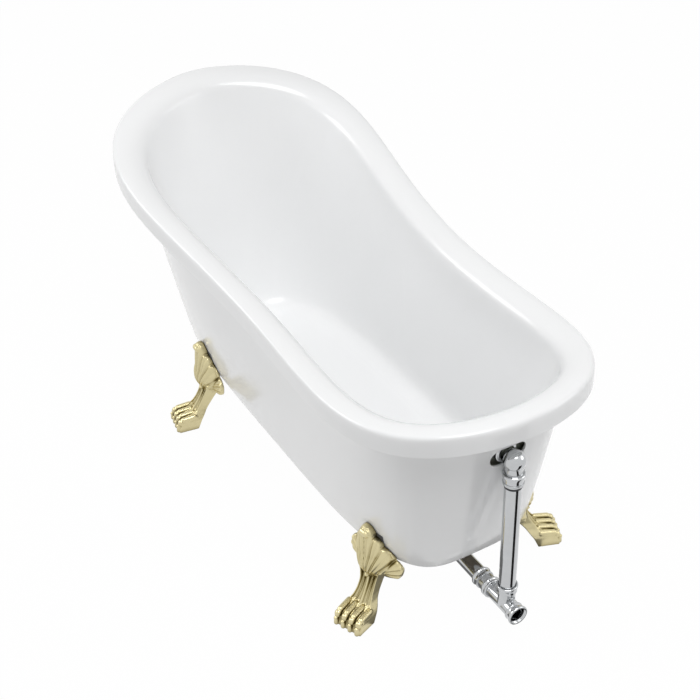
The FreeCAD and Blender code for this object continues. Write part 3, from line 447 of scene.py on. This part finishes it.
def base_y(x):
    along = abs((x - BASE_CENTRE_X) / BASE_HALF_LENGTH)
    return BASE_HALF_WIDTH * (1 - along ** BASE_FULLNESS) ** (1 / BASE_FULLNESS)


def foot_frame(x):
    """The near station's base point and its outward and sideways directions, in millimetres."""
    along = (x - BASE_CENTRE_X) / BASE_HALF_LENGTH
    aside = base_y(x) / BASE_HALF_WIDTH
    slope_x = math.copysign(abs(along) ** (BASE_FULLNESS - 1), along) / BASE_HALF_LENGTH
    slope_y = aside ** (BASE_FULLNESS - 1) / BASE_HALF_WIDTH
    turn = FOOT_TURN_SHARE * math.atan2(slope_x, slope_y)
    outward = Vector((math.sin(turn), -math.cos(turn), 0))
    return Vector((x, -base_y(x), 0)), outward, Vector((math.cos(turn), math.sin(turn), 0))


def skirt_map(tree, point, outward, sideways, sides, levels):
    """How far the skirt's face stands out from the base point, over the sides and levels."""
    depth = np.zeros((len(sides), len(levels)))
    for i, side in enumerate(sides):
        for j in range(len(levels) - 1, -1, -1):
            if levels[j] < SKIRT_FLAT_FROM:
                depth[i, :j + 1] = depth[i, j + 1]
                break
            start = point + sideways * side + outward * RAY_START + Vector((0, 0, levels[j]))
            hit = tree.ray_cast(start * MM, -outward)
            depth[i, j] = RAY_START - hit[3] / MM if hit[0] else 0
    return depth


def carve_foot(x, tree, degrees):
    point, outward, sideways = foot_frame(x)
    outs = np.arange(FOOT_OUT[0], FOOT_OUT[1], FOOT_VOXEL)
    sides = np.arange(-FOOT_SIDE, FOOT_SIDE, FOOT_VOXEL)
    levels = np.arange(FOOT_UP[0], FOOT_UP[1], FOOT_VOXEL)
    o, s, z = np.meshgrid(outs, sides, levels, indexing="ij")
    skirt = skirt_map(tree, point, outward, sideways, sides, levels)
    field = foot_field(o, s, z, skirt, degrees)
    grid = openvdb.FloatGrid(float(FIELD_LIMIT))
    grid.copyFromArray(np.clip(field, -FIELD_LIMIT, FIELD_LIMIT).astype(np.float32))
    points, quads = grid.convertToQuads(0.0)
    local = points * FOOT_VOXEL + np.array([outs[0], sides[0], levels[0]])
    across = np.array([outward, sideways, (0, 0, 1)])
    return (local @ across + np.array(point)) * MM, quads[:, ::-1]


def make_feet():
    skirt = frame["nodes"]["outer_skirt"]
    place = skirt.matrix_world
    tree = BVHTree.FromPolygons([place @ v.co for v in skirt.data.vertices],
                                [tuple(p.vertices) for p in skirt.data.polygons])
    for end, x in FOOT_STATIONS.items():
        points, quads = carve_foot(x, tree, LEG_TWIST[end])
        for side, flip in (("right", 1), ("left", -1)):
            node = end + "_" + side + "_foot"
            mesh = bpy.data.meshes.new(node + "_carved")
            faces = quads if flip > 0 else quads[:, ::-1]
            mesh.from_pydata((points * np.array([1, flip, 1])).tolist(), [], faces.tolist())
            mesh.shade_smooth()
            mesh.materials.append(FINISHES["foot_gold"])
            foot = bpy.data.objects.new(node + "_carved", mesh)
            bpy.context.scene.collection.objects.link(foot)
            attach(foot, "tub")
            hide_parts(node)


# Waste fittings: turned outlines of radius and distance along the axis, in millimetres

TEE_X = 724.0
PIPE_HEIGHT = 103.0
OVERFLOW_HEIGHT = 523.0
TURN_STEPS = 96
FITTINGS = {
    "upper_slip_nut": ("z", (TEE_X, 0, 457), [
        (19.4, 4), (22.0, 4), (22.9, 4.6), (23.3, 5.8), (23.0, 7), (22.4, 8), (22.9, 9), (23.6, 9.8),
        (23.9, 11), (23.5, 12.3), (22.2, 12.6), (22.2, 6), (19.4, 6)]),
    "upper_slip_washer": ("z", (TEE_X, 0, 441), [
        (19.12, 12), (19.5, 12), (19.8, 12.8), (19.8, 15), (19.5, 16), (19.5, 22), (19.12, 22)]),
    "lower_slip_nut": ("z", (TEE_X, 0, 145), [
        (21.05, 0), (22.3, 0), (22.8, 0.8), (22.9, 2.4), (22.3, 4), (21.9, 6), (22.0, 8.5), (22.9, 11),
        (23.9, 13), (24.5, 15.2), (24.4, 17.4), (23.6, 19.2), (22.2, 20), (20.6, 19.9), (19.9, 19),
        (19.3, 17), (19.3, 14), (21.05, 14)]),
    "coupling_nut": ("x", (623.0, 0, PIPE_HEIGHT), [
        (19.2, 0), (21.6, 0), (23.4, 0.9), (24.6, 2.8), (24.8, 4.8), (24.0, 6.8), (22.7, 8), (22.4, 10),
        (22.4, 15), (22.8, 17), (23.6, 18), (23.6, 19.4), (22.6, 20), (21.05, 20), (21.05, 6),
        (19.2, 6)]),
    "union_nut": ("x", (660.0, 0, PIPE_HEIGHT), [
        (21.05, 0), (22.8, 0), (24.3, 0.9), (25.3, 2.6), (25.4, 4.6), (24.6, 6.4), (23.4, 7.4),
        (22.9, 9), (23.3, 10.8), (24.4, 12), (24.8, 13.6), (24.2, 15.2), (22.8, 16), (21.05, 16)]),
    "outlet_nut": ("x", (TEE_X + 27.0, 0, PIPE_HEIGHT), [
        (21.05, 0), (22.2, 0), (23.2, 0.8), (23.5, 2.4), (22.9, 4.2), (22.3, 6), (22.3, 9), (23.0, 11.6),
        (24.2, 13.6), (24.9, 15.8), (24.9, 18), (24.2, 19.8), (22.8, 20.8), (21.2, 20.9), (20.2, 20.2),
        (19.5, 19), (20.2, 18.2), (19.5, 17.4), (20.2, 16.6), (19.5, 15.8), (20.2, 15), (19.5, 14.2),
        (21.05, 14)]),
}
ELBOW_BALL_RADIUS = 24.5
BALL_ARC_STEP = math.radians(5)
BALL_ARC_COUNT = 24
ELBOW_MOUTH = [(20.0, -31), (22.6, -31.6), (24.8, -33), (25.6, -35.4), (25.4, -38), (24.4, -43),
               (23.0, -50), (22.4, -56), (22.1, -60), (19.4, -60), (19.4, -38), (15, -38), (15, -12),
               (0, -12)]
ELBOW_BRANCH = [(15, 0), (25.2, 0), (26, 0.8), (26, 3.2), (25.2, 4), (20, 4), (19.2, 4.8), (19, 6)]
SHARP_ANGLE = math.radians(50)


def turned_mesh(outline, start, axis):
    """Points and faces of a closed outline turned about an axis, in metres."""
    points, faces, rings = [], [], []
    for radius, along in outline:
        first = len(points)
        count = TURN_STEPS if radius else 1
        for step in range(count):
            angle = 2 * math.pi * step / TURN_STEPS
            wide, high = radius * math.cos(angle), radius * math.sin(angle)
            local = (along, wide, high) if axis == "x" else (wide, high, along)
            points.append(tuple((a + b) * MM for a, b in zip(start, local)))
        rings.append((first, count))
    for (a, a_count), (b, b_count) in zip(rings, rings[1:] + rings[:1]):
        for step in range(TURN_STEPS):
            after = (step + 1) % TURN_STEPS
            if a_count > 1 and b_count > 1:
                faces.append((a + step, a + after, b + after, b + step))
            elif a_count > 1:
                faces.append((a + step, a + after, b))
            elif b_count > 1:
                faces.append((a, b + after, b + step))
    return points, faces


def elbow_outlines():
    """The elbow's ball with its neck and flared mouth, and the branch with the plate behind the slot."""
    arc = [(0, ELBOW_BALL_RADIUS)]
    for step in range(1, BALL_ARC_COUNT + 1):
        angle = math.pi / 2 - step * BALL_ARC_STEP
        arc.append((ELBOW_BALL_RADIUS * math.cos(angle), ELBOW_BALL_RADIUS * math.sin(angle)))
    elbow = frame["nodes"]["overflow_elbow"]
    plate_x = min((elbow.matrix_world @ Vector(corner)).x for corner in elbow.bound_box) / MM
    reach = TEE_X - plate_x
    branch = ELBOW_BRANCH + [(ELBOW_BRANCH[-1][0], reach), (ELBOW_BRANCH[0][0], reach)]
    return [(arc + ELBOW_MOUTH, (TEE_X, 0, OVERFLOW_HEIGHT), "z"),
            (branch, (plate_x, 0, OVERFLOW_HEIGHT), "x")]


def add_turned(node, parts):
    points, faces = [], []
    for outline, start, axis in parts:
        more_points, more_faces = turned_mesh(outline, start, axis)
        faces += [tuple(index + len(points) for index in face) for face in more_faces]
        points += more_points
    mesh = bpy.data.meshes.new(node + "_turned")
    mesh.from_pydata(points, [], faces)
    work = bmesh.new()
    work.from_mesh(mesh)
    bmesh.ops.recalc_face_normals(work, faces=work.faces)
    work.to_mesh(mesh)
    work.free()
    mesh.shade_smooth()
    mesh.set_sharp_from_angle(angle=SHARP_ANGLE)
    subparts = frame["record"]["subparts"]
    slot = next(entry["material_slot"] for entry in subparts if entry["node"] == node)
    mesh.materials.append(FINISHES[slot])
    made = bpy.data.objects.new(node + "_turned", mesh)
    bpy.context.scene.collection.objects.link(made)
    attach(made, "tub")
    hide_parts(node)


def make_fittings():
    for node, (axis, start, outline) in FITTINGS.items():
        add_turned(node, [(outline, start, axis)])
    add_turned("overflow_elbow", elbow_outlines())


# Room: a pale floor, glowing dark cards that only mirror images show, as painted shadow and painted
# reflections, and a plain soft studio

FLOOR_SIZE = 30.0
WORLD_STRENGTH = 0.25
FLOOR_WHITE_SHARE = 0.985
LAMPS = [("top", (2.0, -0.4, 5.0), 3.2, 146.0), ("left", (-2.0, -3.0, 2.5), 2.2, 49.0),
         ("right", (2.6, 3.2, 2.0), 2.2, 22.0)]
LAMP_AIM = (0, 0, 0.4)
CARD_HEIGHT = 0.0006
# Painted shadow and painted reflections: each card glows at its fixed grey level and shows only in
# mirror images; the card under the bath stands in for the shade under the tub, as the feet, pipes and
# skirt reflect it.
CARDS = {
    "painted_shadow_under_bath": (0.22, [(-0.50, -0.15), (0.42, -0.15), (0.50, -0.24), (0.62, -0.24), (0.62, 0.24),
                          (0.50, 0.24), (0.42, 0.15), (-0.50, 0.15)]),
    # Painted reflection: a near-black wedge that puts dark streaks into the chrome overflow tube.
    "painted_reflection_beside_tube": (0.02, [(0.76, 0.0), (1.75, 0.05), (1.72, 0.62), (0.755, 0.028)]),
}


def seen_directly(tree):
    """1 for the rays that look at the background itself or at its mirror image."""
    path = tree.nodes.new("ShaderNodeLightPath")
    total = None
    for name in ("Is Camera Ray", "Is Glossy Ray", "Is Transmission Ray"):
        if total is None:
            total = path.outputs[name]
            continue
        largest = tree.nodes.new("ShaderNodeMath")
        largest.operation = "MAXIMUM"
        tree.links.new(total, largest.inputs[0])
        tree.links.new(path.outputs[name], largest.inputs[1])
        total = largest.outputs[0]
    return total


def make_floor():
    mesh = bpy.data.meshes.new("floor")
    half = FLOOR_SIZE / 2
    corners = [(-half, -half, 0), (half, -half, 0), (half, half, 0), (-half, half, 0)]
    mesh.from_pydata(corners, [], [(0, 1, 2, 3)])
    floor = bpy.data.objects.new("floor", mesh)
    bpy.context.scene.collection.objects.link(floor)
    m = Build("pale_floor")
    cloud = m.noise(2.0)
    m.set(Base_Color=m.blend(cloud, (0.78, 0.78, 0.78, 1), (0.80, 0.80, 0.80, 1)), Roughness=0.9)
    glow = m.node("ShaderNodeEmission")
    glow.inputs["Strength"].default_value = 1.0
    share = m.node("ShaderNodeMath", {"operation": "MULTIPLY"})
    m.put(share.inputs[0], seen_directly(m.tree))
    share.inputs[1].default_value = FLOOR_WHITE_SHARE
    mix = m.node("ShaderNodeMixShader")
    m.put(mix.inputs["Fac"], share.outputs[0])
    m.put(mix.inputs[1], m.shader.outputs[0])
    m.put(mix.inputs[2], glow.outputs[0])
    m.put(m.tree.nodes["Material Output"].inputs["Surface"], mix.outputs[0])
    mesh.materials.append(m.material)


def make_cards():
    for name, (level, corners) in CARDS.items():
        m = Build(name)
        # The card glows at its grey level: painted shade that only mirror rays see.
        glow = m.node("ShaderNodeEmission")
        glow.inputs["Color"].default_value = (level, level, level, 1)
        m.put(m.tree.nodes["Material Output"].inputs["Surface"], glow.outputs[0])
        mesh = bpy.data.meshes.new(name)
        points = [(x, y, CARD_HEIGHT) for x, y in corners]
        mesh.from_pydata(points, [], [tuple(range(len(points)))])
        mesh.materials.append(m.material)
        card = bpy.data.objects.new(name, mesh)
        bpy.context.scene.collection.objects.link(card)
        card.visible_camera = False
        card.visible_diffuse = False
        card.visible_shadow = False
        card.visible_transmission = False


def make_world():
    world = bpy.data.worlds.new("studio")
    world.use_nodes = True
    tree = world.node_tree
    tree.nodes.clear()
    out = tree.nodes.new("ShaderNodeOutputWorld")
    plain = tree.nodes.new("ShaderNodeBackground")
    plain.inputs["Color"].default_value = (1, 1, 1, 1)
    strength = tree.nodes.new("ShaderNodeMapRange")
    tree.links.new(seen_directly(tree), strength.inputs["Value"])
    strength.inputs["To Min"].default_value = WORLD_STRENGTH
    strength.inputs["To Max"].default_value = 1.0
    tree.links.new(strength.outputs["Result"], plain.inputs["Strength"])
    tree.links.new(plain.outputs[0], out.inputs["Surface"])
    bpy.context.scene.world = world


def make_lamps():
    for name, place, size, power in LAMPS:
        data = bpy.data.lights.new(name, "AREA")
        data.shape = "DISK"
        data.size = size
        data.energy = power
        lamp = bpy.data.objects.new(name, data)
        lamp.location = place
        lamp.rotation_mode = "QUATERNION"
        aim = Vector(LAMP_AIM) - Vector(place)
        lamp.rotation_quaternion = aim.to_track_quat("-Z", "Y")
        bpy.context.scene.collection.objects.link(lamp)


dress_nodes()
make_feet()
make_fittings()
make_floor()
make_cards()
make_world()
make_lamps()
make_camera()
bpy.context.scene.view_settings.view_transform = "Standard"
